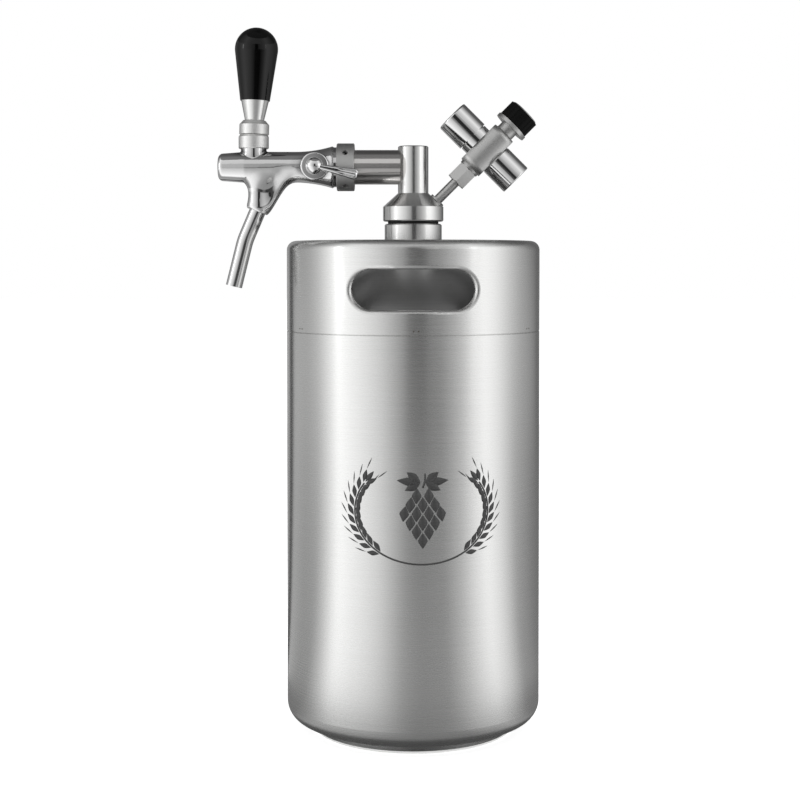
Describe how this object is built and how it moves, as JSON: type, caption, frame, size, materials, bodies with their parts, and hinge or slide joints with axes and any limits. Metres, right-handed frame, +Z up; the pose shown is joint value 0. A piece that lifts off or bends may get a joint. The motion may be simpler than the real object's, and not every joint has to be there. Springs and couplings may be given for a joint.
{
  "type": "mini keg beer dispenser",
  "caption": "Double-walled stainless mini keg with hand slots and a screw-in head that carries a lever tap with flow control and a gas regulator with gauge and cartridge socket.",
  "frame": {"origin": "centre of the keg's foot ring, on the surface it stands on", "axes": "+Z up along the keg's axis, -X towards the tap, +X towards the regulator, -Y towards the keg's front"},
  "size_m": [0.2162, 0.17, 0.4714],
  "materials": {
    "keg_steel": "brushed",
    "dome_steel": "satin",
    "vessel_steel": "satin",
    "turned_steel": "turned satin",
    "tap_chrome": "polished",
    "regulator_satin": "satin",
    "handle_black": "glossy",
    "grip_black": "matte",
    "seal_rubber": "matte",
    "spring_steel": "drawn",
    "brass": "turned",
    "dial_white": "printed",
    "needle_black": "matte",
    "lens_clear": "clear"
  },
  "bodies": {
    "keg": {"base_cap": "keg_steel", "outer_jacket": "keg_steel", "inner_vessel": "vessel_steel", "shoulder_dome": "dome_steel", "neck_ring": "turned_steel", "handle_ring": "keg_steel"},
    "head": {"head_body": "turned_steel", "neck_gasket": "seal_rubber", "stem": "turned_steel", "dip_tube": "turned_steel", "dip_seal": "seal_rubber", "relief_valve": "tap_chrome", "shank": "turned_steel", "shank_washer": "seal_rubber", "coupling_nut": "regulator_satin", "tap_body": "tap_chrome", "spout_tube": "tap_chrome", "spout_seal": "seal_rubber", "bonnet_nut": "turned_steel", "ball_washer": "seal_rubber", "flow_gland": "tap_chrome", "gas_tube": "turned_steel", "regulator_nut": "regulator_satin", "regulator_body": "regulator_satin", "regulator_piston": "brass", "regulator_spring": "spring_steel", "gauge_stem": "tap_chrome", "gauge_case": "tap_chrome", "gauge_dial": "dial_white", "gauge_lens": "lens_clear", "cartridge_socket": "tap_chrome", "piercing_pin": "brass", "cartridge_seal": "seal_rubber"},
    "lever": {"lever_ball": "tap_chrome", "lever_collar": "turned_steel", "handle_ferrule": "turned_steel", "tap_handle": "handle_black"},
    "valve": {"valve_shaft": "turned_steel", "valve_seal": "seal_rubber"},
    "flow": {"flow_lever": "tap_chrome"},
    "compensator": {"flow_compensator": "turned_steel"},
    "knob": {"knob_core": "turned_steel", "knob_grip": "grip_black"},
    "carriage": {"spring_carriage": "brass"},
    "needle": {"gauge_needle": "needle_black"},
    "relief": {"relief_pull": "tap_chrome"}
  },
  "joints": [
    {"name": "head_lift", "type": "slide", "parent": "keg", "child": "head", "axis": [0, 0, 1], "range_m": [0, 0.33]},
    {"name": "tap_lever", "type": "hinge", "parent": "head", "child": "lever", "pos_m": [-0.1074, 0, 0.3921], "axis": [0, -1, 0], "range_deg": [0, 28]},
    {"name": "valve_slide", "type": "slide", "parent": "head", "child": "valve", "axis": [1, 0, 0], "range_m": [0, 0.0064]},
    {"name": "flow_turn", "type": "hinge", "parent": "head", "child": "flow", "pos_m": [-0.0655, 0, 0.3777], "axis": [0, -1, 0], "range_deg": [0, 180]},
    {"name": "compensator_slide", "type": "slide", "parent": "head", "child": "compensator", "axis": [-1, 0, 0], "range_m": [0, 0.004]},
    {"name": "knob_turn", "type": "hinge", "parent": "head", "child": "knob", "pos_m": [0.06718, 0, 0.40648], "axis": [-0.7071, 0, -0.7071], "range_deg": [0, 1080]},
    {"name": "carriage_slide", "type": "slide", "parent": "head", "child": "carriage", "axis": [-0.7071, 0, -0.7071], "range_m": [0, 0.003], "deforming": ["regulator_spring"]},
    {"name": "needle_turn", "type": "hinge", "parent": "head", "child": "needle", "pos_m": [0.0297, 0, 0.4086], "axis": [0.7071, 0, -0.7071], "range_deg": [0, 270]},
    {"name": "relief_lift", "type": "slide", "parent": "head", "child": "relief", "axis": [-0.2418, 0.6645, 0.7071], "range_m": [0, 0.0025], "stiffness_N_per_m": 500}
  ],
  "couplings": [
    {"joint": "valve_slide", "follows": "tap_lever", "m_per_rad": 0.013},
    {"joint": "flow_turn", "follows": "compensator_slide", "rad_per_m": 785.39},
    {"joint": "carriage_slide", "follows": "knob_turn", "m_per_rad": 0.000159}
  ]
}
